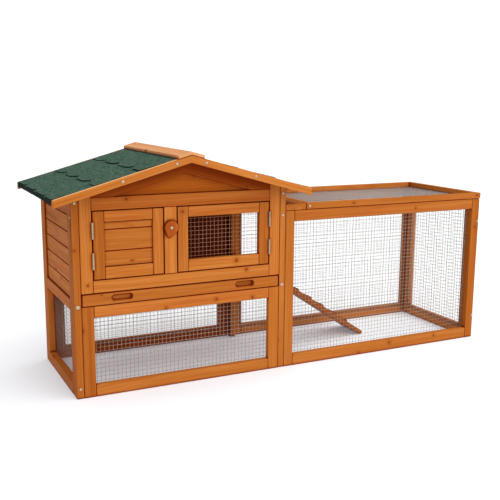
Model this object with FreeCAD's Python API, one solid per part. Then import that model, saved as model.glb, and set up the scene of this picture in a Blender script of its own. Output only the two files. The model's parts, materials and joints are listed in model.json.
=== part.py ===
"""A two-storey timber rabbit hutch with a mesh run beside it.

Every part is drawn in hutch coordinates: x runs right from the outer face of the house's left
wall, y runs back from the plane of the house front, z runs up from the ground. place() moves
the finished pieces so that the origin is under the middle of the whole hutch.
"""
import FreeCAD, Part
import math
import os

V = FreeCAD.Vector

# ---- driving dimensions, millimetres ----
HOUSE_W = 676.0
DEPTH = 405.0
WALL = 21.4              # side panel thickness
FRAME = 18.0             # front and back frame thickness
STILE = 35.6             # front frame stile width
SIDE_STILE = 49.0        # side panel stile width
RAIL = 36.5              # bottom rail height

LOW_TOP = 237.5          # top of the lower front mesh opening
TRAY_Z0 = 271.8          # tray slot, low edge
TRAY_Z1 = 309.7          # tray slot, high edge
DOOR_Z0 = 346.5          # door opening
DOOR_Z1 = 546.4
LINTEL_Z1 = 583.1
MULLION_X0 = 272.7
MULLION_X1 = 311.0

SLOPE = 0.28             # roof rise over run
APEX_Z = 698.4           # top of the roof skin at the ridge
EAVE = 60.4              # roof overhang at each side
FRONT_OVER = 56.0        # roof overhang at the front and the back
BARGE_T = 16.5
BARGE_H = 22.0
FELT_T = 2.8
DECK_T = 10.7
CAP_T = 9.5
CAP_HALF = 40.6
BATTEN_DROP = 55.0       # height of the gable battens' low edge below the roof skin

RUN_L = 788.8
RUN_H = 512.0
RUN_T = 20.0
RUN_STILE = 32.5
RUN_RAIL = 37.6
RUN_TOP_RAIL = 34.8
LID_GAP = 0.8
LID_H = 20.2
LID_W = 18.0
TOP_BOARD_W = 73.8
LID_OVER = 3.3

MESH_T = 0.3
MESH_LAP = 10.0
BOARD_T = 10.0
BOARD_PITCH = 49.0
FIRST_BOARD = 45.5       # visible height of the lowest board in a wall
THIN_STRIP = 8.0         # a top board lower than this is one with the board below
GROOVE = 2.0
CLEAR = 1.0
TRAY_GAP = 2.0           # gap all round the tray front

DOOR_GAP = 3.0
DOOR_TOP_GAP = 2.0
PIN_R = 1.5
KNUCKLE_R = 3.0
BORE_R = 1.56
LEAF_T = 1.0

SLOT_L = 63.0
SLOT_H = 18.5
SLOT_DEEP = 11.0
SLOT_LIFT = 0.3          # how far the slots sit above the middle of the tray front
SLOT_REACH = 196.5       # from the middle of the house to each slot

DOORWAY_Y0 = 160.0
DOORWAY_Y1 = 365.0
DOORWAY_Z1 = 500.0
RAMP_Y0 = 195.0
RAMP_W = 118.0
RAMP_T = 15.0
RAMP_ANGLE = 33.7

MID_X = HOUSE_W / 2
RUN_X0 = HOUSE_W
RUN_X1 = HOUSE_W + RUN_L
ORIGIN = V((RUN_X1 + LID_OVER - EAVE) / 2, DEPTH / 2, 0)


# ---- helpers ----
def box(x0, x1, y0, y1, z0, z1):
    return Part.makeBox(x1 - x0, y1 - y0, z1 - z0, V(x0, y0, z0))


def prism(points, direction):
    """Extrude a closed outline of 3-D points along a vector."""
    wire = Part.makePolygon([V(*p) for p in points + points[:1]])
    return Part.Face(wire).extrude(direction)


def xz_prism(points, y0, y1):
    return prism([(x, y0, z) for x, z in points], V(0, y1 - y0, 0))


def rod(x, y, z, radius, length, axis):
    return Part.makeCylinder(radius, length, V(x, y, z), axis)


def roof_z(x, below=0.0):
    """Height of the roof skin's top at x, or of a plane that far under it."""
    return APEX_Z - below - SLOPE * abs(x - MID_X)


UNDER_DECK = FELT_T + DECK_T


def post_to_roof(x0, x1, y0, y1, z0):
    outline = [(x0, z0), (x1, z0), (x1, roof_z(x1, UNDER_DECK)), (x0, roof_z(x0, UNDER_DECK))]
    return xz_prism(outline, y0, y1)


def side_board(x0, x1, y0, y1, z0, z1, outward):
    """Horizontal wall board along y with a V groove at both long edges of its outer face."""
    if outward < 0:
        outline = [(x1, z0), (x1, z1), (x0 + GROOVE, z1), (x0, z1 - GROOVE),
                   (x0, z0 + GROOVE), (x0 + GROOVE, z0)]
    else:
        outline = [(x0, z0), (x0, z1), (x1 - GROOVE, z1), (x1, z1 - GROOVE),
                   (x1, z0 + GROOVE), (x1 - GROOVE, z0)]
    return xz_prism(outline, y0, y1)


def cross_board(x0, x1, y0, y1, z0, z1, outward):
    """The same board, running along x."""
    front, back = (y0, y1) if outward < 0 else (y1, y0)
    cut = GROOVE if outward < 0 else -GROOVE
    outline = [(x0, back, z0), (x0, back, z1), (x0, front + cut, z1), (x0, front, z1 - GROOVE),
               (x0, front, z0 + GROOVE), (x0, front + cut, z0)]
    return prism(outline, V(x1 - x0, 0, 0))


def courses(z0, z1):
    """Split a height into board courses of the standard pitch, with no thin strip at the top."""
    edges = [z0, z0 + FIRST_BOARD]
    while edges[-1] + BOARD_PITCH < z1 - THIN_STRIP:
        edges.append(edges[-1] + BOARD_PITCH)
    edges.append(z1)
    return list(zip(edges[:-1], edges[1:]))


def place(shape):
    moved = shape.copy()
    moved.translate(-ORIGIN)
    return moved


def save(node, solids):
    pieces = [place(s) for s in solids]
    shape = pieces[0] if len(pieces) == 1 else Part.makeCompound(pieces)
    shape.exportStep("parts/" + node + ".step")


# ---- fasteners ----
SCREW_R = 1.8
SCREW_HEAD_R = 4.0
SCREW_HEAD_T = 1.4
BOLT_HEAD_R = 5.5
BOLT_HEAD_T = 2.0
FRONT = V(0, -1, 0)
BACK = V(0, 1, 0)
LEFT = V(-1, 0, 0)


def screw(x, y, z, out, head_r=SCREW_HEAD_R, head_t=SCREW_HEAD_T, length=12.0):
    """A round-headed screw standing on the face at (x, y, z), its head pointing out."""
    foot = V(x, y, z) - out * length
    shank = Part.makeCylinder(SCREW_R, length, foot, out)
    head = Part.makeCylinder(head_r, head_t, V(x, y, z), out)
    rim = [e for e in head.Edges if e.Curve.TypeId == "Part::GeomCircle"
           and (e.Curve.Center - V(x, y, z)).dot(out) > head_t / 2]
    head = head.makeFillet(head_t * 0.6, rim)
    return shank.fuse(head).removeSplitter()


def screw_hole(x, y, z, out, length=12.0):
    return Part.makeCylinder(SCREW_R, length, V(x, y, z) - out * length, out)


def drilled(shape, places):
    for x, y, z, out in places:
        shape = shape.cut(screw_hole(x, y, z, out))
    return shape


BARGE_SCREW_X = [133.8, 292.3, 2 * MID_X - 292.3, 2 * MID_X - 133.8]
BARGE_SCREWS = [(x, y, roof_z(x, BARGE_H / 2), out)
                for y, out in ((-FRONT_OVER, FRONT), (DEPTH + FRONT_OVER, BACK))
                for x in BARGE_SCREW_X]
LEFT_BOLTS = [(10.7, 0.0, 273.4, FRONT), (10.7, 0.0, 570.5, FRONT), (10.7, 0.0, 29.8, FRONT),
              (0.0, 14.0, 529.6, LEFT)]
RIGHT_BOLTS = [(665.3, 0.0, 276.4, FRONT), (665.3, 0.0, 568.6, FRONT), (665.3, 0.0, 499.0, FRONT)]
RUN_BOLTS = [(RUN_X1 - 5.0, 0.0, 431.4, FRONT), (RUN_X1 - 5.0, 0.0, 82.5, FRONT)]
LID_SCREWS = [(763.0, 0.0, 522.5, FRONT)]


def fasteners():
    save("roof_screws", [screw(*p) for p in BARGE_SCREWS])
    small = [screw(*p) for p in LEFT_BOLTS[1:] + RIGHT_BOLTS[1:] + RUN_BOLTS]
    large = [screw(*p, head_r=BOLT_HEAD_R, head_t=BOLT_HEAD_T)
             for p in (LEFT_BOLTS[0], RIGHT_BOLTS[0])]
    save("frame_bolts", small + large)
    save("lid_screw", [screw(*p) for p in LID_SCREWS])


# ---- side walls ----
MID_RAIL_Z0 = 254.0
MID_RAIL_Z1 = 288.0
TOP_RAIL_Z0 = 556.0


def left_wall():
    y1 = SIDE_STILE
    y2 = DEPTH - SIDE_STILE
    front = post_to_roof(0, WALL, 0, y1, 0)
    save("left_wall_stiles", [drilled(front, LEFT_BOLTS), post_to_roof(0, WALL, y2, DEPTH, 0)])
    save("left_wall_rails", [box(0, WALL, y1, y2, 0, RAIL),
                             box(0, WALL, y1, y2, MID_RAIL_Z0, MID_RAIL_Z1),
                             post_to_roof(0, WALL, y1, y2, TOP_RAIL_Z0)])
    save("left_wall_boards", [side_board(6, 6 + BOARD_T, y1, y2, a, b, -1)
                              for a, b in courses(MID_RAIL_Z1, TOP_RAIL_Z0)])
    save("left_wall_mesh", [box(WALL, WALL + MESH_T, y1 - MESH_LAP, y2 + MESH_LAP,
                                RAIL - MESH_LAP, MID_RAIL_Z0 + MESH_LAP / 2)])


def right_wall():
    """The wall beside the run: open to the run below, with a doorway for the ramp above."""
    x0 = HOUSE_W - WALL
    x1 = HOUSE_W
    y1 = SIDE_STILE
    post_y = DOORWAY_Y0 - 32.0
    front = drilled(post_to_roof(x0, x1, 0, y1, 0), RIGHT_BOLTS)
    rear = post_to_roof(x0, x1, DOORWAY_Y1, DEPTH, 0)
    door_post = box(x0, x1, post_y, DOORWAY_Y0, TRAY_Z1, TOP_RAIL_Z0)
    save("right_wall_posts", [front, rear, door_post])
    sill = box(x0, x1, y1, DOORWAY_Y1, MID_RAIL_Z0, TRAY_Z1)
    header = box(x0, x1, DOORWAY_Y0, DOORWAY_Y1, DOORWAY_Z1, DOORWAY_Z1 + 32.0)
    save("right_wall_rails", [sill, header, post_to_roof(x0, x1, y1, DOORWAY_Y1, TOP_RAIL_Z0)])
    boards = [side_board(x0 + 4, x0 + 4 + BOARD_T, y1, post_y, a, b, 1)
              for a, b in courses(TRAY_Z1, TOP_RAIL_Z0)]
    boards.append(side_board(x0 + 4, x0 + 4 + BOARD_T, DOORWAY_Y0, DOORWAY_Y1,
                             DOORWAY_Z1 + 32.0, TOP_RAIL_Z0, 1))
    save("right_wall_boards", boards)


# ---- front and back of the house ----
IN_X0 = WALL
IN_X1 = HOUSE_W - WALL
BACK_STILE = 38.0


def front_wall():
    x1 = IN_X0 + STILE
    x2 = IN_X1 - STILE
    save("lower_front_stiles", [box(IN_X0, x1, 0, FRAME, 0, TRAY_Z0),
                                box(x2, IN_X1, 0, FRAME, 0, TRAY_Z0)])
    save("lower_front_rails", [box(x1, x2, 0, FRAME, 0, RAIL),
                               box(x1, x2, 0, FRAME, LOW_TOP, TRAY_Z0)])
    save("lower_front_mesh", [box(x1 - MESH_LAP, x2 + MESH_LAP, FRAME, FRAME + MESH_T,
                                  RAIL - MESH_LAP, LOW_TOP + MESH_LAP)])
    mullion = box(MULLION_X0, MULLION_X1, 0, FRAME, DOOR_Z0, DOOR_Z1)
    pivot = rod(BUTTON_X, 0, BUTTON_Z, BUTTON_SCREW_R, 14.0, BACK)
    save("upper_front_stiles", [post_to_roof(IN_X0, x1, 0, FRAME, TRAY_Z1),
                                post_to_roof(x2, IN_X1, 0, FRAME, TRAY_Z1),
                                mullion.cut(pivot)])
    save("upper_front_rails", [box(x1, x2, 0, FRAME, TRAY_Z1, DOOR_Z0),
                               box(x1, x2, 0, FRAME, DOOR_Z1, LINTEL_Z1)])


def gables():
    """Recessed gable boards, and the sloping battens nailed over their top edges."""
    x1 = IN_X0 + STILE
    x2 = IN_X1 - STILE
    panel = [(x1, LINTEL_Z1), (x2, LINTEL_Z1), (x2, roof_z(x2, UNDER_DECK)),
             (MID_X, roof_z(MID_X, UNDER_DECK)), (x1, roof_z(x1, UNDER_DECK))]
    half = BATTEN_DROP - UNDER_DECK
    reach = (APEX_Z - BATTEN_DROP - LINTEL_Z1) / SLOPE
    left = [(x1, LINTEL_Z1), (MID_X - reach, LINTEL_Z1), (MID_X, APEX_Z - BATTEN_DROP),
            (MID_X, APEX_Z - BATTEN_DROP + half), (x1, roof_z(x1, UNDER_DECK))]
    right = [(2 * MID_X - x, z) for x, z in left]
    boards = []
    battens = []
    for y_batten, y_board in ((0, 8), (DEPTH - 8, DEPTH - 16)):
        boards.append(xz_prism(panel, y_board, y_board + 8))
        battens.append(xz_prism(left, y_batten, y_batten + 8))
        battens.append(xz_prism(right, y_batten, y_batten + 8))
    save("gable_boards", boards)
    save("gable_battens", battens)


def back_wall():
    y0 = DEPTH - FRAME
    x1 = IN_X0 + BACK_STILE
    x2 = IN_X1 - BACK_STILE
    stile_l = box(IN_X0, x1, y0, DEPTH, 0, DOOR_Z1)
    stile_r = box(x2, IN_X1, y0, DEPTH, 0, DOOR_Z1)
    top_l = post_to_roof(IN_X0, IN_X0 + STILE, y0, DEPTH, LINTEL_Z1)
    top_r = post_to_roof(IN_X1 - STILE, IN_X1, y0, DEPTH, LINTEL_Z1)
    save("back_wall_stiles", [stile_l, stile_r, top_l, top_r])
    save("back_wall_rails", [box(x1, x2, y0, DEPTH, 0, RAIL + 5),
                             box(x1, x2, y0, DEPTH, MID_RAIL_Z0, MID_RAIL_Z1),
                             box(IN_X0, IN_X1, y0, DEPTH, DOOR_Z1, LINTEL_Z1)])
    save("back_wall_boards", [cross_board(x1, x2, y0 + 2, y0 + 2 + BOARD_T, a, b, 1)
                              for a, b in courses(MID_RAIL_Z1, DOOR_Z1)])
    save("back_wall_mesh", [box(x1 - MESH_LAP, x2 + MESH_LAP, y0 - MESH_T, y0,
                                RAIL - MESH_LAP / 2, MID_RAIL_Z0 + MESH_LAP)])


# ---- roof ----
def slope_slab(x0, x1, top, bottom):
    """Outline between two planes parallel to the roof skin; both planes are depths below it."""
    return [(x0, roof_z(x0, bottom)), (x1, roof_z(x1, bottom)),
            (x1, roof_z(x1, top)), (x0, roof_z(x0, top))]


def mirror_x(points):
    return [(2 * MID_X - x, z) for x, z in points]


def roof():
    y0 = -FRONT_OVER + BARGE_T
    y1 = DEPTH + FRONT_OVER - BARGE_T
    eave = -EAVE
    deck = slope_slab(eave + FELT_T, MID_X, FELT_T, UNDER_DECK)
    save("roof_deck_left", [xz_prism(deck, y0, y1)])
    save("roof_deck_right", [xz_prism(mirror_x(deck), y0, y1)])
    sheet = slope_slab(eave, MID_X, 0, FELT_T)
    fold = slope_slab(eave, eave + FELT_T, FELT_T, UNDER_DECK)
    save("roof_felt_left", [xz_prism(sheet, y0, y1), xz_prism(fold, y0, y1)])
    save("roof_felt_right", [xz_prism(mirror_x(sheet), y0, y1), xz_prism(mirror_x(fold), y0, y1)])
    barge = slope_slab(eave, MID_X, 0, BARGE_H)
    boards = []
    for a, b in ((-FRONT_OVER, y0), (y1, DEPTH + FRONT_OVER)):
        for outline in (barge, mirror_x(barge)):
            boards.append(drilled(xz_prism(outline, a, b), BARGE_SCREWS))
    save("bargeboards", boards)
    cap = slope_slab(MID_X - CAP_HALF, MID_X, -CAP_T - 0.5, 0)
    save("ridge_cap", [xz_prism(outline, -FRONT_OVER, DEPTH + FRONT_OVER)
                       for outline in (cap, mirror_x(cap))])


# ---- hinges ----
def pin(x, y, z, length, axis):
    """A hinge pin with a small head at each end, just outside the knuckles."""
    start = V(x, y, z) - axis * 1.0
    shaft = Part.makeCylinder(PIN_R, length + 2.0, start, axis)
    low = Part.makeCylinder(PIN_R + 0.8, 0.9, start, axis)
    high = Part.makeCylinder(PIN_R + 0.8, 0.9, V(x, y, z) + axis * (length + 0.1), axis)
    return shaft.fuse([low, high]).removeSplitter()


def knuckle(x, y, z, length, axis):
    outer = Part.makeCylinder(KNUCKLE_R, length, V(x, y, z), axis)
    return outer.cut(Part.makeCylinder(BORE_R, length + 2, V(x, y, z) - axis, axis))


KNUCKLE_GAP = 0.4


def knuckle_spans(length):
    """Fixed, moving, fixed knuckles along one hinge: (start, length) of each."""
    end = length * 0.3
    middle = length - 2 * end - 2 * KNUCKLE_GAP
    return (0.0, end), (end + KNUCKLE_GAP, middle), (length - end, end)


UP = V(0, 0, 1)
HINGE_L = 46.0
DOOR_HINGE_Z = [467.2, 379.8]
DOOR_PIN_Y = -3.1
LEAF_DEEP = 15.0
LEFT_PIN_X = IN_X0 + STILE + DOOR_GAP / 2
RIGHT_PIN_X = IN_X1 - STILE - DOOR_GAP / 2


def door_hinge(pin_x, frame_side):
    """Butt hinge in the gap beside a door: returns its fixed half, moving half and pin."""
    fixed = []
    moving = []
    pins = []
    off = DOOR_GAP / 2
    for z in DOOR_HINGE_Z:
        first, middle, last = knuckle_spans(HINGE_L)
        edges = sorted((pin_x + frame_side * off, pin_x + frame_side * (off - LEAF_T)))
        shape = box(edges[0], edges[1], DOOR_PIN_Y + 1.8, LEAF_DEEP, z, z + HINGE_L)
        shape = shape.cut(box(edges[0] - 1, edges[1] + 1, DOOR_PIN_Y, 0.3,
                              z + middle[0] - KNUCKLE_GAP, z + middle[0] + middle[1] + KNUCKLE_GAP))
        ends = [knuckle(pin_x, DOOR_PIN_Y, z + a, n, UP) for a, n in (first, last)]
        fixed.append(shape.fuse(ends).removeSplitter())
        edges = sorted((pin_x - frame_side * off, pin_x - frame_side * (off - LEAF_T)))
        leaf = box(edges[0], edges[1], 0.3, LEAF_DEEP, z + 1, z + HINGE_L - 1)
        neck = box(edges[0], edges[1], DOOR_PIN_Y + 1.8, 0.3, z + middle[0], z + middle[0] + middle[1])
        moving.append(leaf.fuse([neck, knuckle(pin_x, DOOR_PIN_Y, z + middle[0], middle[1], UP)])
                      .removeSplitter())
        pins.append(pin(pin_x, DOOR_PIN_Y, z, HINGE_L, UP))
    return fixed, moving, pins


# ---- doors ----
DOOR_STILE = 33.0
DOOR_BOARD_EDGES = [383.0, 428.5, 490.5, 513.0]


def doors():
    z0 = DOOR_Z0 + DOOR_TOP_GAP
    z1 = DOOR_Z1 - DOOR_TOP_GAP
    x0 = IN_X0 + STILE + DOOR_GAP
    x1 = MULLION_X0 - DOOR_GAP
    inner0 = x0 + DOOR_STILE
    inner1 = x1 - DOOR_STILE
    save("left_door_stiles", [box(x0, inner0, 0, FRAME, z0, z1), box(inner1, x1, 0, FRAME, z0, z1)])
    save("left_door_rails", [box(inner0, inner1, 0, FRAME, z0, DOOR_BOARD_EDGES[0]),
                             box(inner0, inner1, 0, FRAME, DOOR_BOARD_EDGES[-1], z1)])
    save("left_door_boards", [cross_board(inner0, inner1, 5, 13, a, b, -1)
                              for a, b in zip(DOOR_BOARD_EDGES[:-1], DOOR_BOARD_EDGES[1:])])
    x2 = MULLION_X1 + DOOR_GAP
    x3 = IN_X1 - STILE - DOOR_GAP
    win0 = z0 + DOOR_STILE + 1.0
    win1 = z1 - DOOR_STILE + 1.0
    save("right_door_stiles", [box(x2, x2 + DOOR_STILE, 0, FRAME, z0, z1),
                               box(x3 - DOOR_STILE, x3, 0, FRAME, z0, z1)])
    save("right_door_rails", [box(x2 + DOOR_STILE, x3 - DOOR_STILE, 0, FRAME, z0, win0),
                              box(x2 + DOOR_STILE, x3 - DOOR_STILE, 0, FRAME, win1, z1)])
    save("right_door_mesh", [box(x2 + DOOR_STILE - MESH_LAP, x3 - DOOR_STILE + MESH_LAP,
                                 FRAME, FRAME + MESH_T, win0 - MESH_LAP, win1 + MESH_LAP)])


# ---- turn button ----
BUTTON_X = (MULLION_X0 + MULLION_X1) / 2
BUTTON_Z = 485.0
BUTTON_R = 20.6
BUTTON_TAIL = V(-5.0, 0, -18.0)      # from the pivot to the middle of the narrow end
BUTTON_TIP_R = 9.5
BUTTON_T = 8.0
BUTTON_ROUND = 1.8
BUTTON_GAP = 1.0
BUTTON_SCREW_R = 2.2


def turn_button():
    """Teardrop of wood, round at the top, that a quarter turn brings in front of a door."""
    centre = V(BUTTON_X, -BUTTON_GAP, BUTTON_Z)
    tip = centre + BUTTON_TAIL
    along = V(BUTTON_TAIL).normalize()
    across = V(-along.z, 0, along.x)
    lean = (BUTTON_R - BUTTON_TIP_R) / BUTTON_TAIL.Length
    normals = [along * lean + across * (side * math.sqrt(1 - lean ** 2)) for side in (1, -1)]
    big = [centre + n * BUTTON_R for n in normals]
    small = [tip + n * BUTTON_TIP_R for n in normals]
    edges = [Part.Arc(big[0], centre - along * BUTTON_R, big[1]).toShape(),
             Part.makeLine(big[1], small[1]),
             Part.Arc(small[1], tip + along * BUTTON_TIP_R, small[0]).toShape(),
             Part.makeLine(small[0], big[0])]
    solid = Part.Face(Part.Wire(edges)).extrude(V(0, -BUTTON_T, 0))
    face_y = -BUTTON_GAP - BUTTON_T
    rim = [e for e in solid.Edges if all(abs(v.Y - face_y) < 0.01 for v in e.Vertexes)]
    solid = solid.makeFillet(BUTTON_ROUND, rim)
    hole = rod(BUTTON_X, 2, BUTTON_Z, BUTTON_SCREW_R + 0.06, 20.0, FRONT)
    save("turn_button", [solid.cut(hole)])
    shank = rod(BUTTON_X, 13.0, BUTTON_Z, BUTTON_SCREW_R, 13.3 - face_y, FRONT)
    head = rod(BUTTON_X, face_y - 0.3, BUTTON_Z, 4.2, 1.6, FRONT)
    save("turn_button_screw", [shank.fuse(head).removeSplitter()])


# ---- tray ----
TRAY_RIM = 10.0
TRAY_BASE_Z = 276.0
TRAY_BASE_T = 4.0
TRAY_SIDE_GAP = 4.6
TRAY_Y1 = 378.0
RUNNER_W = 14.0
RUNNER_H = 11.0


def finger_slot(x, z):
    """A rounded oblong pocket in the face of the tray front."""
    half = (SLOT_L - SLOT_H) / 2
    middle = box(x - half, x + half, -1, SLOT_DEEP, z - SLOT_H / 2, z + SLOT_H / 2)
    ends = [rod(x + s * half, -1, z, SLOT_H / 2, SLOT_DEEP + 1, BACK) for s in (-1, 1)]
    return middle.fuse(ends).removeSplitter()


def tray():
    x0 = IN_X0 + TRAY_SIDE_GAP
    x1 = IN_X1 - TRAY_SIDE_GAP
    base_top = TRAY_BASE_Z + TRAY_BASE_T
    rim_top = TRAY_Z1 - 5.0
    front = box(IN_X0 + TRAY_GAP, IN_X1 - TRAY_GAP, 0, FRAME, TRAY_Z0 + TRAY_GAP, TRAY_Z1 - TRAY_GAP)
    slot_z = (TRAY_Z0 + TRAY_Z1) / 2 + SLOT_LIFT
    slots = [finger_slot(x, slot_z) for x in (MID_X - SLOT_REACH, MID_X + SLOT_REACH)]
    save("tray_front", [front.cut(Part.makeCompound(slots))])
    save("tray_base", [box(x0, x1, FRAME, TRAY_Y1, TRAY_BASE_Z, base_top)])
    save("tray_rims", [box(x0, x0 + TRAY_RIM, FRAME, TRAY_Y1 - TRAY_RIM, base_top, rim_top),
                       box(x1 - TRAY_RIM, x1, FRAME, TRAY_Y1 - TRAY_RIM, base_top, rim_top),
                       box(x0, x1, TRAY_Y1 - TRAY_RIM, TRAY_Y1, base_top, rim_top)])
    z1 = TRAY_BASE_Z - 0.4
    save("tray_runners", [box(IN_X0 + s, IN_X0 + s + RUNNER_W, FRAME + CLEAR, DEPTH - FRAME - CLEAR,
                              z1 - RUNNER_H, z1)
                          for s in (MESH_T, IN_X1 - IN_X0 - RUNNER_W)])


# ---- run ----
def run_frames():
    x0 = RUN_X0
    x1 = RUN_X1
    in0 = x0 + RUN_STILE
    in1 = x1 - RUN_STILE
    z1 = RUN_H - RUN_TOP_RAIL
    right = drilled(box(in1, x1, 0, RUN_T, 0, RUN_H), RUN_BOLTS)
    save("run_front_stiles", [box(x0, in0, 0, RUN_T, 0, RUN_H), right])
    save("run_front_rails", [box(in0, in1, 0, RUN_T, 0, RUN_RAIL), box(in0, in1, 0, RUN_T, z1, RUN_H)])
    save("run_front_mesh", [box(in0 - MESH_LAP, in1 + MESH_LAP, RUN_T, RUN_T + MESH_T,
                                RUN_RAIL - MESH_LAP, z1 + MESH_LAP)])
    y0 = DEPTH - RUN_T
    save("run_back_stiles", [box(x0, in0, y0, DEPTH, 0, RUN_H), box(in1, x1, y0, DEPTH, 0, RUN_H)])
    save("run_back_rails", [box(in0, in1, y0, DEPTH, 0, RUN_RAIL), box(in0, in1, y0, DEPTH, z1, RUN_H)])
    save("run_back_mesh", [box(in0 - MESH_LAP, in1 + MESH_LAP, y0 - MESH_T, y0,
                               RUN_RAIL - MESH_LAP, z1 + MESH_LAP)])
    end = x1 - RUN_T
    ya = RUN_T + MESH_T
    yb = y0 - MESH_T
    save("run_end_stiles", [box(end, x1, ya, ya + RUN_STILE, 0, RUN_H),
                            box(end, x1, yb - RUN_STILE, yb, 0, RUN_H)])
    save("run_end_rails", [box(end, x1, ya + RUN_STILE, yb - RUN_STILE, 0, RUN_RAIL),
                           box(end, x1, ya + RUN_STILE, yb - RUN_STILE, z1, RUN_H)])
    save("run_end_mesh", [box(end - MESH_T, end, ya + RUN_STILE - MESH_LAP, yb - RUN_STILE + MESH_LAP,
                              RUN_RAIL - MESH_LAP, z1 + MESH_LAP)])


# ---- lid of the run ----
LID_X0 = RUN_X0 + TOP_BOARD_W + CLEAR
LID_X1 = RUN_X1 + LID_OVER
LID_Z0 = RUN_H + LID_GAP
LID_Z1 = LID_Z0 + LID_H
LID_PIN_Y = DEPTH + 3.2
LID_PIN_Z = RUN_H + LID_GAP / 2
LID_HINGE_X = [LID_X0 + 120.0, LID_X1 - 120.0 - HINGE_L]
LID_LEAF_H = 16.0
EAST = V(1, 0, 0)


def lid():
    save("run_top_board", [box(RUN_X0, RUN_X0 + TOP_BOARD_W, 0, DEPTH, RUN_H, LID_Z1)])
    front = drilled(box(LID_X0, LID_X1, 0, LID_W, LID_Z0, LID_Z1), LID_SCREWS)
    save("lid_long_rails", [front, box(LID_X0, LID_X1, DEPTH - LID_W, DEPTH, LID_Z0, LID_Z1)])
    save("lid_short_rails", [box(LID_X0, LID_X0 + LID_W, LID_W, DEPTH - LID_W, LID_Z0, LID_Z1),
                             box(LID_X1 - LID_W, LID_X1, LID_W, DEPTH - LID_W, LID_Z0, LID_Z1)])
    save("lid_mesh", [box(LID_X0 + LID_W, LID_X1 - LID_W, LID_W, DEPTH - LID_W,
                          LID_Z0 + 0.4, LID_Z0 + 0.4 + MESH_T)])


def lid_hinges():
    """Butt hinges flat on the backs of the lid's rear rail and the run's top rail."""
    fixed = []
    moving = []
    pins = []
    y0 = DEPTH
    y1 = DEPTH + LEAF_T
    for x in LID_HINGE_X:
        first, middle, last = knuckle_spans(HINGE_L)
        for group, spans, side in ((fixed, (first, last), -1), (moving, (middle,), 1)):
            start = LID_PIN_Z + side * 0.5
            reach = LID_PIN_Z + side * 3.4
            far = start + side * LID_LEAF_H
            plate = box(x, x + HINGE_L, y0, y1, min(reach, far), max(reach, far))
            necks = [box(x + a, x + a + n, y0, y1 + 0.3, min(start + side * 1.2, reach),
                         max(start + side * 1.2, reach)) for a, n in spans]
            tubes = [knuckle(x + a, LID_PIN_Y, LID_PIN_Z, n, EAST) for a, n in spans]
            group.append(plate.fuse(necks + tubes).removeSplitter())
        pins.append(pin(x, LID_PIN_Y, LID_PIN_Z, HINGE_L, EAST))
    return fixed, moving, pins


# ---- ramp ----
RAMP_PIN_X = HOUSE_W + 3.4
RAMP_PIN_Z = 284.0
RAMP_START = 6.0
RAMP_ROUND = 6.75
RAMP_FOOT_GAP = 0.3
CLEAT_T = 4.5
CLEAT_W = 10.0
CLEAT_INSET = 4.0
CLEAT_PITCH = 62.0
RAMP_HINGE_Y = RAMP_Y0 + (RAMP_W - HINGE_L) / 2


def tilt(shape):
    """Turn a ramp piece drawn level down to the ground about the ramp's hinge pin."""
    turned = shape.copy()
    turned.rotate(V(RAMP_PIN_X, 0, RAMP_PIN_Z), V(0, 1, 0), RAMP_ANGLE)
    return turned


def ramp_length():
    """Length along the slope at which the board's rounded low edge meets the ground."""
    a = math.radians(RAMP_ANGLE)
    lifted = RAMP_ROUND * (math.sin(a) + math.cos(a) - 1)
    return (RAMP_PIN_Z + lifted - RAMP_FOOT_GAP) / math.sin(a)


def ramp():
    x0 = RAMP_PIN_X + RAMP_START
    x1 = RAMP_PIN_X + ramp_length()
    z0 = RAMP_PIN_Z
    z1 = RAMP_PIN_Z + RAMP_T
    y1 = RAMP_Y0 + RAMP_W
    board = box(x0, x1, RAMP_Y0, y1, z0, z1)
    ends = [e for e in board.Edges
            if e.BoundBox.XMin > x1 - 0.01 and e.BoundBox.ZLength < 0.01]
    board = board.makeFillet(RAMP_ROUND, ends)
    save("ramp_board", [tilt(board)])
    count = int((x1 - x0 - CLEAT_PITCH / 2) / CLEAT_PITCH)
    cleats = [box(x0 + CLEAT_PITCH * (i + 0.75), x0 + CLEAT_PITCH * (i + 0.75) + CLEAT_W,
                  RAMP_Y0 + CLEAT_INSET, y1 - CLEAT_INSET, z1, z1 + CLEAT_T) for i in range(count)]
    save("ramp_cleats", [tilt(c) for c in cleats])


def ramp_hinge():
    """One butt hinge: a leaf on the house wall, and a leaf under the head of the ramp."""
    y = RAMP_HINGE_Y
    first, middle, last = knuckle_spans(HINGE_L)
    wall = box(HOUSE_W, HOUSE_W + LEAF_T, y, y + HINGE_L, RAMP_PIN_Z - 18.0, RAMP_PIN_Z - 1.8)
    wall = wall.fuse([knuckle(RAMP_PIN_X, y + a, RAMP_PIN_Z, n, BACK) for a, n in (first, last)])
    necks = [box(HOUSE_W, RAMP_PIN_X - 1.7, y + a, y + a + n, RAMP_PIN_Z - 2.6, RAMP_PIN_Z - 1.6)
             for a, n in (first, last)]
    wall = wall.cut(box(HOUSE_W - 1, HOUSE_W + 2, y + middle[0] - KNUCKLE_GAP,
                        y + middle[0] + middle[1] + KNUCKLE_GAP, RAMP_PIN_Z - 4.0, RAMP_PIN_Z))
    leaf = box(RAMP_PIN_X + 4.0, RAMP_PIN_X + 24.0, y, y + HINGE_L, RAMP_PIN_Z - LEAF_T, RAMP_PIN_Z)
    neck = box(RAMP_PIN_X + 1.8, RAMP_PIN_X + 4.0, y + middle[0], y + middle[0] + middle[1],
               RAMP_PIN_Z - LEAF_T, RAMP_PIN_Z)
    tube = knuckle(RAMP_PIN_X, y + middle[0], RAMP_PIN_Z, middle[1], BACK)
    moving = leaf.fuse([neck, tube]).removeSplitter()
    rod_pin = pin(RAMP_PIN_X, y, RAMP_PIN_Z, HINGE_L, BACK)
    return [wall.fuse(necks).removeSplitter()], [tilt(moving)], [rod_pin]


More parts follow.
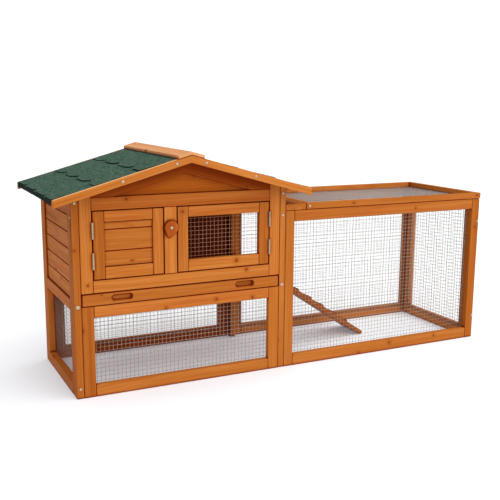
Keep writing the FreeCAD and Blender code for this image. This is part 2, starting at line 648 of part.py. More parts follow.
def hinges():
    left = door_hinge(LEFT_PIN_X, -1)
    right = door_hinge(RIGHT_PIN_X, 1)
    top = lid_hinges()
    low = ramp_hinge()
    save("fixed_hinge_leaves", left[0] + right[0] + top[0] + low[0])
    save("hinge_pins", left[2] + right[2] + top[2] + low[2])
    save("left_door_leaves", left[1])
    save("right_door_leaves", right[1])
    save("lid_leaves", top[1])
    save("ramp_leaf", low[1])


os.makedirs("parts", exist_ok=True)
fasteners()
left_wall()
right_wall()
front_wall()
gables()
back_wall()
roof()
doors()
turn_button()
tray()
run_frames()
lid()
ramp()
hinges()
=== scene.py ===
"""The finished look of the rabbit hutch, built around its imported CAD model.

Everything is in metres in the model's own frame: x runs from the house to the run's far end, y from
the door side to the back, z up from the ground.
"""
import json
import math
import random

import bpy
from mathutils import Matrix, Vector


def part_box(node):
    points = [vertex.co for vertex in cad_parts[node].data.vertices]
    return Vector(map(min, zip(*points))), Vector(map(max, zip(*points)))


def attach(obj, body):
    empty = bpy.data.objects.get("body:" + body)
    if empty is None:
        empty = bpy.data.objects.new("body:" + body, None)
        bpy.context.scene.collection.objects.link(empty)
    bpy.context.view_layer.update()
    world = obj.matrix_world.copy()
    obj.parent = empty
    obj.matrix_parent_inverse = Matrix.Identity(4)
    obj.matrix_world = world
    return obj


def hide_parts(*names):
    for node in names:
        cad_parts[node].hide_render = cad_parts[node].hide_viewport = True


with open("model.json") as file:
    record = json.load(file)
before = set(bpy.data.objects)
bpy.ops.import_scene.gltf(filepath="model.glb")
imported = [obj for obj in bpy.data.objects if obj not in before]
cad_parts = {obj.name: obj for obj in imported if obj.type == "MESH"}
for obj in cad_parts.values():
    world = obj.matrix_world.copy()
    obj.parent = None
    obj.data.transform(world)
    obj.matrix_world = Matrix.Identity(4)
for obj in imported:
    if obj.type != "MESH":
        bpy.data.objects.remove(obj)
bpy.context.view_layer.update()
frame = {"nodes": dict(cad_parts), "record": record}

MM = 0.001
SLOPE = 0.28                                   # roof rise over run
HOUSE_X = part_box("left_wall_stiles")[0].x      # left side of the house
MID_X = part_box("roof_felt_left")[1].x          # middle of the house
APEX_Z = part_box("roof_felt_left")[1].z         # roof skin at the ridge
UPSTAIRS_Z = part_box("tray_base")[1].z          # floor of the upper room
X, Y, Z = Vector((1, 0, 0)), Vector((0, 1, 0)), Vector((0, 0, 1))


# ---- camera and light ----
CAMERA_AT = (-1.2105, -2.3428, 0.8594)
CAMERA_TURN = (26.304, -10.962, 0.429)         # degrees of yaw, pitch and roll
FOCAL_LENGTH = 56.62                           # mm, like the sensor's width
SENSOR_WIDTH = 36.0


def look_matrix(yaw, pitch, roll):
    """Turn of a camera that looks yaw degrees right of +Y, pitch up and roll anticlockwise."""
    yaw, pitch, roll = (math.radians(a) for a in (yaw, pitch, roll))
    ahead = Vector((math.sin(yaw) * math.cos(pitch), math.cos(yaw) * math.cos(pitch), math.sin(pitch)))
    level = Vector((math.cos(yaw), -math.sin(yaw), 0))
    upward = level.cross(ahead)
    right = level * math.cos(roll) + upward * math.sin(roll)
    top = upward * math.cos(roll) - level * math.sin(roll)
    return Matrix((right, top, -ahead)).transposed().to_4x4()


def add_camera():
    data = bpy.data.cameras.new("camera")
    data.sensor_width = SENSOR_WIDTH
    data.lens = FOCAL_LENGTH
    camera = bpy.data.objects.new("camera", data)
    camera.matrix_world = Matrix.Translation(CAMERA_AT) @ look_matrix(*CAMERA_TURN)
    bpy.context.scene.collection.objects.link(camera)
    bpy.context.scene.camera = camera


def add_sky_panel(name, towards, spread, power):
    """A soft light far off in that direction, as wide across as spread degrees."""
    data = bpy.data.lights.new(name, "SUN")
    data.angle = math.radians(spread)
    data.energy = power
    light = bpy.data.objects.new(name, data)
    light.matrix_world = Vector(towards).to_track_quat("Z", "Y").to_matrix().to_4x4()
    bpy.context.scene.collection.objects.link(light)


AMBIENT = 0.24
AMBIENT_TINT = (1.0, 0.98, 0.97, 1)
SEEN_WHITE = 1.1                               # how bright the camera sees the studio


def add_world():
    """A white studio: seen white, and lighting the hutch more weakly than the sky panel does."""
    world = bpy.data.worlds.new("studio")
    world.use_nodes = True
    tree = world.node_tree
    seen = tree.nodes.new("ShaderNodeBackground")
    mixer = tree.nodes.new("ShaderNodeMixShader")
    path = tree.nodes.new("ShaderNodeLightPath")
    ambient = tree.nodes["Background"]
    ambient.inputs["Color"].default_value = AMBIENT_TINT
    ambient.inputs["Strength"].default_value = AMBIENT
    seen.inputs["Color"].default_value = (1, 1, 1, 1)
    seen.inputs["Strength"].default_value = SEEN_WHITE
    tree.links.new(path.outputs["Is Camera Ray"], mixer.inputs[0])
    tree.links.new(ambient.outputs[0], mixer.inputs[1])
    tree.links.new(seen.outputs[0], mixer.inputs[2])
    tree.links.new(mixer.outputs[0], tree.nodes["World Output"].inputs["Surface"])
    bpy.context.scene.world = world
    bpy.context.scene.view_settings.view_transform = "Standard"


# ---- shader nodes ----
def srgb(red, green, blue):
    """A colour on the usual 0 to 255 scale, as the linear colour that a shader takes."""
    linear = [((c / 255 + 0.055) / 1.055) ** 2.4 if c > 10 else c / 255 / 12.92
              for c in (red, green, blue)]
    return (*linear, 1.0)


class Tree:
    """A material, with short calls that add nodes and join them."""

    def __init__(self, name):
        self.material = bpy.data.materials.new(name)
        self.material.use_nodes = True
        self.nodes = self.material.node_tree.nodes
        self.links = self.material.node_tree.links
        self.shader = self.nodes["Principled BSDF"]

    def plug(self, value, socket):
        if isinstance(value, bpy.types.NodeSocket):
            self.links.new(value, socket)
        else:
            socket.default_value = value

    def add(self, kind, inputs, **settings):
        node = self.nodes.new("ShaderNode" + kind)
        for key, value in settings.items():
            setattr(node, key, value)
        for key, value in inputs.items():
            self.plug(value, node.inputs[key])
        return node

    def math(self, operation, *values):
        return self.add("Math", dict(enumerate(values)), operation=operation).outputs[0]

    def vector(self, operation, *values):
        node = self.add("VectorMath", dict(enumerate(values)), operation=operation)
        return node.outputs["Value" if operation in ("LENGTH", "DOT_PRODUCT") else "Vector"]

    def split(self, vector):
        return list(self.add("SeparateXYZ", {0: vector}).outputs)

    def join(self, x, y, z=0.0):
        return self.add("CombineXYZ", {0: x, 1: y, 2: z}).outputs[0]

    def mix(self, factor, first, second, blend="MIX"):
        node = self.add("Mix", {0: factor, 6: first, 7: second}, data_type="RGBA", blend_type=blend)
        return node.outputs[2]

    def remap(self, value, low, high, to_low=0.0, to_high=1.0, smooth=False):
        kind = "SMOOTHSTEP" if smooth else "LINEAR"
        inputs = {"Value": value, "From Min": low, "From Max": high,
                  "To Min": to_low, "To Max": to_high}
        return self.add("MapRange", inputs, interpolation_type=kind).outputs["Result"]

    def ramp(self, factor, stops):
        node = self.add("ValToRGB", {"Fac": factor})
        points = node.color_ramp.elements
        while len(points) < len(stops):
            points.new(0.5)
        for point, (at, colour) in zip(points, stops):
            point.position = at
            point.color = colour
        return node.outputs["Color"]

    def noise(self, vector, scale=1.0, detail=2.0, rough=0.5):
        inputs = {"Vector": vector, "Scale": scale, "Detail": detail, "Roughness": rough}
        return self.add("TexNoise", inputs, noise_dimensions="3D").outputs["Fac"]

    def crevice(self, reach, full, none):
        """1 deep in a corner or a gap narrower than reach, 0 in the open."""
        seen = self.add("AmbientOcclusion", {"Distance": reach}, samples=6).outputs["AO"]
        return self.remap(seen, full, none, 1.0, 0.0, smooth=True)

    def eased(self):
        """1 on the eased edges of a squared piece, 0 on its flat faces."""
        normal = self.vector("ABSOLUTE", self.add("TexCoord", {}).outputs["Normal"])
        x, y, z = self.split(normal)
        return self.remap(self.math("MAXIMUM", self.math("MAXIMUM", x, y), z), 0.93, 0.99, 1.0, 0.0)

    def bump(self, height, depth, strength):
        node = self.add("Bump", {"Height": height, "Distance": depth, "Strength": strength})
        self.plug(node.outputs["Normal"], self.shader.inputs["Normal"])

    def finish(self, colour, roughness, metallic=0.0, specular=0.5):
        self.plug(colour, self.shader.inputs["Base Color"])
        self.plug(roughness, self.shader.inputs["Roughness"])
        self.shader.inputs["Metallic"].default_value = metallic
        self.shader.inputs["Specular IOR Level"].default_value = specular
        return self.material


# ---- wood ----
STAINS = {
    "fir": (srgb(208, 134, 68), srgb(195, 115, 49), srgb(168, 84, 27)),
    "ridge": (srgb(230, 172, 124), srgb(218, 154, 106), srgb(188, 114, 64)),
    "button": (srgb(184, 98, 42), srgb(168, 79, 27), srgb(134, 54, 14)),
    "ply": (srgb(190, 122, 62), srgb(172, 98, 42), srgb(142, 72, 26)),
}
WHITE = (1, 1, 1, 1)
RUSSET = (0.68, 0.53, 0.36, 1)                 # what a second coat of stain leaves of the colour
THIRD_COAT_AND_SHADE = (0.46, 0.16, 0.02, 1)                   # and a third; also the darkest painted shade
OVERHANG_SHADE_TINT = (1.0, 0.86, 0.5, 1)               # painted shade: tint of the gable pieces under the roof's overhang
UNLIT = (0.30, 0.11, 0.03, 1)                  # the stain in the shade of the closed upper room
KNOT = srgb(104, 42, 12)
KNOT_HALO = srgb(150, 70, 24)
GAP_STAIN_AND_SHADE = srgb(122, 34, 7)                         # the dark stain that gathers in gaps, and painted shade in gaps and corners
# painted highlight for the front bargeboards' top edges, and painted shade for the back ones' edges
VERGE_HIGHLIGHT = srgb(220, 164, 114)
VERGE_SHADE = srgb(104, 80, 64)
RING = 6.5 * MM                                # from one growth ring to the next
KNOT_CELL = (170 * MM, 48 * MM)                # room along and across the grain for one knot
KNOT_SIZES = (2.0 * MM, 4.4 * MM)              # smallest and largest radius
KNOT_STRETCH = 0.62                            # a knot is longer along the grain by 1 / this
KNOTLESS = 0.62                                # share of the cells that have no knot
INNER_SHADE_COATS = 0.70                             # painted shade: how much darker the inner faces are, in coats
COAT_SPREAD = 0.035                            # how far one board's coat may be off
OVERHANG_SHADE_FROM, OVERHANG_SHADE_TO = 28 * MM, 78 * MM        # depth below the roof where the painted shade of the overhang fades
GAP_REACH = 8 * MM                             # how far round a gap or into a corner the dark stain and painted shade reach
SEAM_REACH = 14 * MM                           # and where that gap meets an eased edge


def board_frame(t, place, grain, start, size):
    """A place's board, that board's three random numbers, and (along, across, through) in it."""
    cell = t.vector("FLOOR", t.vector("DIVIDE", t.vector("SUBTRACT", place, start), size))
    chance = t.add("TexWhiteNoise", {"Vector": cell}, noise_dimensions="3D").outputs["Color"]
    middle = t.vector("ADD", t.vector("MULTIPLY", t.vector("ADD", cell, (0.5, 0.5, 0.5)), size), start)
    x, y, z = t.split(t.vector("SUBTRACT", place, middle))
    if grain == "slope":
        lean = math.atan(SLOPE)
        sin, cos = math.sin(lean), math.cos(lean)
        out = t.math("ABSOLUTE", t.math("SUBTRACT", t.split(place)[0], MID_X))
        along = t.math("SUBTRACT", t.math("MULTIPLY", out, cos), t.math("MULTIPLY", z, sin))
        across = t.math("ADD", t.math("MULTIPLY", out, sin), t.math("MULTIPLY", z, cos))
        return cell, t.split(chance), (along, across, y)
    order = {"x": (x, z, y), "y": (y, z, x), "z": (z, x, y)}
    return cell, t.split(chance), order[grain]


def placed_knots(t, place, knots):
    """Distance to the nearest placed knot over its own radius, and 1 because they all exist."""
    nearest = 99.0
    for right, up, radius in knots:
        offset = t.vector("SUBTRACT", place, (HOUSE_X + right * MM, 0, up * MM))
        flat = t.vector("MULTIPLY", offset, (1 / (radius * MM), 0, 1 / (radius * MM)))
        nearest = t.math("MINIMUM", t.vector("LENGTH", flat), nearest)
    return nearest, 1.0


def knot_field(t, along, spread):
    """Distance to the nearest knot over its own radius, and 1 where that knot exists."""
    length, width = KNOT_CELL
    place = t.join(t.math("DIVIDE", along, length), t.math("DIVIDE", spread, width))
    near = t.add("TexVoronoi", {"Vector": place, "Scale": 1.0}, voronoi_dimensions="2D")
    away = t.vector("MULTIPLY", t.vector("SUBTRACT", place, near.outputs["Position"]),
                    (length * KNOT_STRETCH, width, 0))
    draw, size, _ = t.split(near.outputs["Color"])
    radius = t.remap(size, 0.0, 1.0, *KNOT_SIZES)
    return t.math("DIVIDE", t.vector("LENGTH", away), radius), t.math("GREATER_THAN", draw, KNOTLESS)


def coats_and_inner_shade(t, place, cell, parts, tones, chance, inner):
    """What extra coats of stain leave of the colour, with painted shade on the faces towards inner,
    darkest in the upper room. tones are the first and last board's coats, on some pieces painted shade.
    """
    axis = next((i for i in range(3) if parts[i] > 1), 0)
    board = t.split(cell)[axis]
    depth = t.remap(board, 0, parts[axis] - 1, *tones) if parts[axis] > 1 else tones[0]
    depth = t.math("ADD", depth, t.remap(chance, 0, 1, -COAT_SPREAD, COAT_SPREAD))
    coats = [(0.0, WHITE), (0.5, RUSSET), (1.0, THIRD_COAT_AND_SHADE)]
    if not inner:
        return t.ramp(depth, coats)
    # painted shade on the faces towards inner, turned to UNLIT in the upper room
    facing = t.vector("DOT_PRODUCT", t.add("TexCoord", {}).outputs["Normal"], inner)
    inside = t.math("GREATER_THAN", facing, 0.6)
    depth = t.math("ADD", depth, t.math("MULTIPLY", inside, INNER_SHADE_COATS))
    upstairs = t.math("GREATER_THAN", t.split(place)[2], UPSTAIRS_Z)
    return t.mix(t.math("MULTIPLY", inside, upstairs), t.ramp(depth, coats), UNLIT)


def verge_highlight_and_shade(t, place, colour, middle_y):
    """The bargeboards' top edges: a painted highlight on the front ones, and painted shade on the edges
    of the back ones.
    """
    facing = t.split(t.add("TexCoord", {}).outputs["Normal"])
    behind = t.math("GREATER_THAN", t.split(place)[1], middle_y)
    up = t.remap(facing[2], 0.75, 0.9)
    outward = t.math("SUBTRACT", 1.0, t.math("ABSOLUTE", facing[1]))
    colour = t.mix(t.math("MULTIPLY", up, t.math("SUBTRACT", 1.0, behind)), colour, VERGE_HIGHLIGHT)
    return t.mix(t.math("MULTIPLY", t.math("MULTIPLY", outward, behind), 0.9), colour, VERGE_SHADE)


def painted_overhang_shade(t, place, colour):
    """Painted shade of the roof's overhang: the gable pieces are tinted darker all over, and darkest
    right under the roof, less so further down.
    """
    x, _, z = t.split(place)
    drop = t.math("MULTIPLY", t.math("ABSOLUTE", t.math("SUBTRACT", x, MID_X)), SLOPE)
    depth = t.math("SUBTRACT", t.math("SUBTRACT", APEX_Z, drop), z)
    # painted shade: the whole piece tinted darker and redder, then darkest right under the roof
    colour = t.mix(1.0, colour, OVERHANG_SHADE_TINT, "MULTIPLY")
    return t.mix(t.remap(depth, OVERHANG_SHADE_FROM, OVERHANG_SHADE_TO, 0.85, 0.0), colour, THIRD_COAT_AND_SHADE, "MULTIPLY")


def wood(name, grain, stain, start, size, parts, tones, inner=None, verge_y=None, knots=None, gaps=1.0,
         overhang_shade=False):
    """Stained softwood: growth rings about a pith beside each board, streaks, fibres and knots, with
    painted shade in gaps and corners.
    """
    t = Tree(name)
    light, base, deep = STAINS[stain]
    place = t.add("TexCoord", {}).outputs["Object"]
    cell, (r1, r2, r3), (along, across, through) = board_frame(t, place, grain, start, size)
    seed = sum(map(ord, name)) * 0.37 % 11
    along = t.math("ADD", along, t.math("ADD", t.math("MULTIPLY", r1, 9.0), seed))
    spread = t.math("ADD", t.math("ADD", across, through), t.math("MULTIPLY", r2, 3.0))
    away, exists = placed_knots(t, place, knots) if knots else knot_field(t, along, spread)
    halo = t.math("MULTIPLY", t.remap(away, 0.7, 4.0, 1.0, 0.0, smooth=True), exists)
    core = t.math("MULTIPLY", t.remap(away, 0.3, 1.5, 1.0, 0.0, smooth=True), exists)

    def stretched(along_scale, cross_scale, detail=2.0):
        vector = t.join(t.math("MULTIPLY", along, along_scale), t.math("MULTIPLY", across, cross_scale),
                        t.math("MULTIPLY", through, cross_scale))
        return t.noise(vector, detail=detail)

    drift = t.math("MULTIPLY", stretched(2.2, 9.0, 3.0), 34 * MM)
    pith_a = t.math("ADD", across, t.remap(r2, 0, 1, -50 * MM, 50 * MM))
    pith_b = t.math("ADD", through, t.remap(r3, 0, 1, 25 * MM, 130 * MM))
    radius = t.vector("LENGTH", t.join(pith_a, pith_b))
    radius = t.math("ADD", t.math("ADD", radius, drift), t.math("MULTIPLY", halo, 3 * MM))
    turn = t.math("FRACT", t.math("DIVIDE", radius, RING))
    late = t.ramp(turn, [(0.0, (0.2,) * 3 + (1,)), (0.12, (0, 0, 0, 1)), (0.62, (0.3,) * 3 + (1,)),
                         (0.9, (1, 1, 1, 1)), (1.0, (0.2,) * 3 + (1,))])
    streak = stretched(2.4, 85.0, 3.0)
    fibre = stretched(16.0, 800.0)
    tone = t.math("ADD", t.math("MULTIPLY", late, 0.22), t.remap(streak, 0.3, 0.7, 0.0, 0.46))
    tone = t.math("ADD", tone, t.remap(fibre, 0.25, 0.75, 0.0, 0.24))
    colour = t.ramp(tone, [(0.06, light), (0.42, base), (0.95, deep)])
    hue = t.add("HueSaturation", {"Color": colour, "Hue": t.remap(r3, 0, 1, 0.498, 0.502),
                                  "Value": t.remap(r2, 0, 1, 0.96, 1.03)})
    # stain coats, with painted shade on the inner faces
    coats_and_shade = coats_and_inner_shade(t, place, cell, parts, tones, r1, inner)
    colour = t.mix(1.0, hue.outputs[0], coats_and_shade, "MULTIPLY")
    # painted shade of the roof's overhang
    if overhang_shade:
        colour = painted_overhang_shade(t, place, colour)
    colour = t.mix(t.math("MULTIPLY", halo, 0.5), colour, KNOT_HALO)
    colour = t.mix(t.math("MULTIPLY", core, 0.8), colour, KNOT)
    # painted highlight and painted shade on the bargeboards' edges
    if verge_y is not None:
        colour = verge_highlight_and_shade(t, place, colour, verge_y)
    # dark stain and painted shade in gaps, corners and the eased edges beside them, found by ambient
    # occlusion
    seam = t.math("MULTIPLY", t.eased(), t.crevice(SEAM_REACH, 0.84, 0.99))
    gap = t.math("MULTIPLY", t.crevice(GAP_REACH, 0.68, 0.975), 0.94 * gaps)
    dark = t.math("MAXIMUM", gap, seam)
    colour = t.mix(dark, colour, GAP_STAIN_AND_SHADE)
    height = t.math("SUBTRACT", t.math("MULTIPLY", fibre, 0.6), t.math("MULTIPLY", late, 0.5))
    t.bump(height, 0.4 * MM, 0.35)
    return t.finish(colour, t.remap(fibre, 0.2, 0.8, 0.50, 0.68), specular=0.03)


# ---- metal, felt and floor ----
def metal(name, colour, rough, blotch, shine, gloss=0.5):
    """Zinc: a blotchy metal with fine bumps. shine is its metallic share."""
    t = Tree(name)
    place = t.add("TexCoord", {}).outputs["Object"]
    spangle = t.noise(place, blotch, 3.0, 0.6)
    dark = tuple(c * 0.62 for c in colour[:3]) + (1,)
    shade = t.mix(t.remap(spangle, 0.35, 0.7), colour, dark)
    t.bump(t.noise(place, blotch * 6, 2.0), 0.1 * MM, 0.3)
    rough = t.remap(spangle, 0.3, 0.7, rough - 0.08, rough + 0.12)
    return t.finish(shade, rough, metallic=shine, specular=gloss)


# bitumen, which is also the painted shade on the felt
BITUMEN_AND_SHADE = srgb(8, 22, 14)
GRANULES = (srgb(22, 42, 32), srgb(56, 84, 69), srgb(116, 142, 124))
FELT_CLOUD = srgb(52, 78, 68)                  # tint of the large soft patches


def felt_material():
    """Green mineral granules pressed in bitumen, which shows bare on the cut edges, with painted shade
    on the fold over the eave and under the tabs' edges.
    """
    t = Tree("roof_felt")
    place = t.add("TexCoord", {}).outputs["Object"]
    grains = t.add("TexVoronoi", {"Vector": place, "Scale": 620.0}, voronoi_dimensions="3D")
    pick = t.split(grains.outputs["Color"])[0]
    patch = t.noise(place, 95.0, 4.0, 0.7)
    cloud = t.noise(place, 9.0, 2.0)
    tone = t.math("ADD", t.math("MULTIPLY", pick, 0.45), t.remap(patch, 0.3, 0.7, 0.0, 0.55))
    colour = t.ramp(tone, list(zip((0.05, 0.45, 0.95), GRANULES)))
    colour = t.mix(t.remap(cloud, 0.3, 0.7, 0.0, 0.25), colour, FELT_CLOUD)
    # bitumen on the cut edges, and painted shade on the faces that turn down, such as the fold over the
    # eave
    upright = t.remap(t.split(t.add("TexCoord", {}).outputs["Normal"])[2], 0.5, 0.85, 1.0, 0.0)
    colour = t.mix(t.math("MULTIPLY", upright, 0.9), colour, BITUMEN_AND_SHADE)
    # painted shade under the tabs' edges and in creases
    colour = t.mix(t.math("MULTIPLY", t.crevice(9 * MM, 0.5, 0.96), 0.9), colour, BITUMEN_AND_SHADE)
    t.bump(t.math("SUBTRACT", pick, grains.outputs["Distance"]), 0.9 * MM, 0.8)
    return t.finish(colour, t.remap(pick, 0, 1, 0.82, 1.0), specular=0.06)


FLOOR_GLOW = (0.84, 0.99, 1.18, 1)             # light that a white studio bounces into the shadows
FLOOR_GLOW_POWER = 0.17
FLOOR_GREY = (0.815, 0.825)                    # darkest and lightest


def floor_material():
    t = Tree("studio_floor")
    place = t.add("TexCoord", {}).outputs["Object"]
    shade = t.remap(t.noise(place, 3.0), 0.3, 0.7, *FLOOR_GREY)
    grey = t.add("CombineColor", {0: shade, 1: shade, 2: shade}).outputs[0]
    t.shader.inputs["Emission Color"].default_value = FLOOR_GLOW
    t.shader.inputs["Emission Strength"].default_value = FLOOR_GLOW_POWER
    return t.finish(grey, 0.8, specular=0.1)


# ---- meshes ----
def new_object(name, verts, faces, material, smooth=False):
    mesh = bpy.data.meshes.new(name)
    mesh.from_pydata([tuple(v) for v in verts], [], faces)
    mesh.validate()
    mesh.materials.append(material)
    mesh.polygons.foreach_set("use_smooth", [smooth] * len(mesh.polygons))
    made = bpy.data.objects.new(name, mesh)
    bpy.context.scene.collection.objects.link(made)
    return made


class Solid:
    """Collects the vertices and faces of many small closed pieces."""

    def __init__(self):
        self.verts = []
        self.faces = []

    def tube(self, path, radius, sides=6):
        """A round bar along a list of points, closed at both ends."""
        first = len(self.verts)
        for i, point in enumerate(path):
            ahead = (path[min(i + 1, len(path) - 1)] - path[max(i - 1, 0)]).normalized()
            across = ahead.cross(X if abs(ahead.x) < 0.8 else Z).normalized()
            other = ahead.cross(across)
            for k in range(sides):
                angle = math.tau * (k + 0.5) / sides
                self.verts.append(point + (across * math.cos(angle) + other * math.sin(angle)) * radius)
        for i in range(len(path) - 1):
            for k in range(sides):
                a, b = first + i * sides + k, first + i * sides + (k + 1) % sides
                self.faces.append((a, b, b + sides, a + sides))
        self.faces.append(tuple(range(first + sides - 1, first - 1, -1)))
        last = len(self.verts) - sides
        self.faces.append(tuple(range(last, last + sides)))

    def sheet(self, top, bottom):
        """A closed slab between two grids of points of the same size."""
        rows, columns = len(top), len(top[0])
        first = len(self.verts)
        for grid in (top, bottom):
            for row in grid:
                self.verts.extend(row)

        def at(grid, i, j):
            return first + (grid * rows + i) * columns + j

        for i in range(rows - 1):
            for j in range(columns - 1):
                self.faces.append((at(0, i, j), at(0, i, j + 1), at(0, i + 1, j + 1), at(0, i + 1, j)))
                self.faces.append((at(1, i, j), at(1, i + 1, j), at(1, i + 1, j + 1), at(1, i, j + 1)))
        rim = [(0, j) for j in range(columns)] + [(i, columns - 1) for i in range(1, rows)]
        rim += [(rows - 1, j) for j in range(columns - 2, -1, -1)]
        rim += [(i, 0) for i in range(rows - 2, 0, -1)]
        for (i, j), (k, m) in zip(rim, rim[1:] + rim[:1]):
            self.faces.append((at(0, k, m), at(0, i, j), at(1, i, j), at(1, k, m)))

    def make(self, name, material, smooth=False):
        return new_object(name, self.verts, self.faces, material, smooth)


def body_of(node):
    return next(b for b, names in frame["record"]["behaviour"]["bodies"].items() if node in names)


def soften(node, width):
    """Ease the sharp edges of a CAD piece, once its faces are joined and its flats made whole."""
    piece = frame["nodes"][node]
    weld = piece.modifiers.new("weld", "WELD")
    weld.merge_threshold = 0.01 * MM
    flat = piece.modifiers.new("flat", "DECIMATE")
    flat.decimate_type = "DISSOLVE"
    flat.angle_limit = math.radians(0.5)
    bevel = piece.modifiers.new("bevel", "BEVEL")
    bevel.width = width
    bevel.segments = 2
    bevel.limit_method = "ANGLE"
    bevel.angle_limit = math.radians(35)
    bevel.use_clamp_overlap = False
    bevel.harden_normals = True


def dress(node, material):
    slots = frame["nodes"][node].data.materials
    slots.clear()
    slots.append(material)


# ---- timber ----
EASED = 2.0 * MM
GROOVED = 3.3 * MM                             # edges eased wide enough to show a groove
COURSES = (45.5 * MM, 49 * MM)                 # the lowest wall board's height, and the others'


def dress_wood(node, grain, tones, parts=(1, 1, 1), width=EASED, stain="fir", courses=None,
               inner=None, verge_y=None, knots=None, gaps=1.0, overhang_shade=False):
    """Wood for a CAD node whose box holds parts[i] boards along each axis, or courses up z.

    tones are the coats of the first and last board, which on some pieces stand for painted shade,
    and width is how far the edges are eased. Faces towards inner get painted shade, and verge_y
    divides the front bargeboards, with a painted highlight on their top edges, from the back ones,
    with painted shade on theirs. knots are (mm right of the house's left side, mm up, mm radius),
    gaps is how dark the stain and painted shade in gaps and corners are, and the last flag paints
    the shade of the roof's overhang on the piece.
    """
    low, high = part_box(node)
    size = [max((high[i] - low[i]) / parts[i], 1 * MM) + 0.02 * MM for i in range(3)]
    start = [low[i] - 0.01 * MM for i in range(3)]
    if courses:
        first, size[2] = courses
        start[2] = low.z + first - size[2]
    made = wood("wood_" + node, grain, stain, start, size, parts, tones, inner, verge_y, knots, gaps,
                overhang_shade)
    dress(node, made)
    if width:
        soften(node, width)


def front_timber():
    dress_wood("upper_front_stiles", "z", (0.11, 0.05), (3, 1, 1), inner=Y, knots=[(41, 334, 3.6)])
    # painted shade: the upper rail, under the roof's overhang, is darker
    dress_wood("upper_front_rails", "x", (0.08, 0.36), (1, 1, 2), inner=Y,
               knots=[(159, 575, 4.2), (539, 337, 4.0)])
    dress_wood("lower_front_stiles", "z", (0.42, 0.20), (2, 1, 1))
    dress_wood("lower_front_rails", "x", (0.13, 0.04), (1, 1, 2),
               knots=[(275, 241, 3.6), (438, 253, 3.8), (561, 245, 4.2)])
    dress_wood("left_door_stiles", "z", (0.36, 0.24), (2, 1, 1))
    dress_wood("left_door_rails", "x", (0.03, 0.10), (1, 1, 2))
    dress_wood("left_door_boards", "x", (0.24, 0.24), width=0, gaps=0.6)
    dress_wood("right_door_stiles", "z", (0.18, 0.40), (2, 1, 1), knots=[(330, 529, 3.8)])
    dress_wood("right_door_rails", "x", (0.02, 0.21), (1, 1, 2), knots=[(505, 368, 5.0)])
    dress_wood("turn_button", "z", (0.0, 0.0), width=0, stain="button")
    dress_wood("tray_front", "x", (0.30, 0.30), width=GROOVED, knots=[(80, 302, 2.2)])
    dress_wood("gable_boards", "x", (0.36, 0.36), (1, 2, 1), gaps=0.3, overhang_shade=True)
    dress_wood("gable_battens", "slope", (0.42, 0.42), (2, 2, 1), knots=[(538, 595, 4.0)],
               gaps=0.5, overhang_shade=True)


def side_timber():
    dress_wood("left_wall_stiles", "z", (0.42, 0.26), (1, 2, 1), GROOVED, inner=X,
               knots=[(6, 438, 3.0)])
    dress_wood("left_wall_rails", "y", (0.20, 0.20), (1, 1, 3), inner=X)
    # painted shade: the boards are darker towards the eave
    dress_wood("left_wall_boards", "y", (0.08, 0.34), (1, 1, 6), width=0, courses=COURSES, inner=X,
               gaps=0.8)
    dress_wood("right_wall_posts", "z", (0.10, 0.25), (1, 2, 1), GROOVED, inner=-X)
    dress_wood("right_wall_rails", "y", (0.25, 0.25), (1, 1, 3), inner=-X)
    dress_wood("right_wall_boards", "y", (0.20, 0.20), width=0, courses=COURSES, inner=-X)
    dress_wood("back_wall_stiles", "z", (0.25, 0.25), (2, 1, 1), inner=-Y)
    dress_wood("back_wall_rails", "x", (0.20, 0.20), (1, 1, 3), inner=-Y)
    dress_wood("back_wall_boards", "x", (0.20, 0.20), width=0, courses=COURSES, inner=-Y)


def roof_timber():
    low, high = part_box("bargeboards")
    dress_wood("bargeboards", "slope", (0.15, 0.10), (2, 2, 1), verge_y=(low.y + high.y) / 2)
    dress_wood("ridge_cap", "y", (0.0, 0.0), (2, 1, 1), stain="ridge")
    for node in ("roof_deck_left", "roof_deck_right"):
        dress_wood(node, "y", (0.3, 0.3), stain="ply")


def run_timber():
    dress_wood("run_front_stiles", "z", (0.18, 0.42), (2, 1, 1), knots=[(1449, 411, 3.6)])
    dress_wood("run_front_rails", "x", (0.12, 0.22), (1, 1, 2),
               knots=[(1094, 26, 4.2), (967, 5, 4.2), (1288, 27, 3.4), (1182, 493, 3.0)])
    dress_wood("run_back_stiles", "z", (0.20, 0.42), (2, 1, 1))
    dress_wood("run_back_rails", "x", (0.06, 0.22), (1, 1, 2))
    dress_wood("run_end_stiles", "z", (0.30, 0.25), (1, 2, 1))
    dress_wood("run_end_rails", "y", (0.12, 0.22), (1, 1, 2))
    dress_wood("run_top_board", "y", (0.18, 0.18))
    dress_wood("lid_long_rails", "x", (0.25, 0.15), (1, 2, 1))
    dress_wood("lid_short_rails", "y", (0.20, 0.20), (2, 1, 1))
    dress_wood("ramp_board", "x", (0.50, 0.50))
    dress_wood("ramp_cleats", "y", (0.62, 0.50), (6, 1, 1), width=0.8 * MM)
    dress_wood("tray_base", "x", (0.1, 0.1), stain="ply")
    dress_wood("tray_rims", "y", (0.2, 0.2), (2, 1, 1))
    dress_wood("tray_runners", "y", (0.2, 0.2), (2, 1, 1))


# ---- wire mesh ----
WIRE_R = 0.55 * MM
WIRE_PITCH = 12.7 * MM
WELD_SINK = 0.12 * MM         # how far the crossing wires are pressed into each other
STAPLE_R = 0.55 * MM
STAPLE_GAP = 105 * MM         # from one staple to the next
STAPLE_IN = 4.5 * MM          # how far the staples sit inside a sheet's edges
STAPLE_HALF = 5 * MM          # half a staple's crown
WIRE_WANDER = 0.06            # mm that a wire may stray from its place


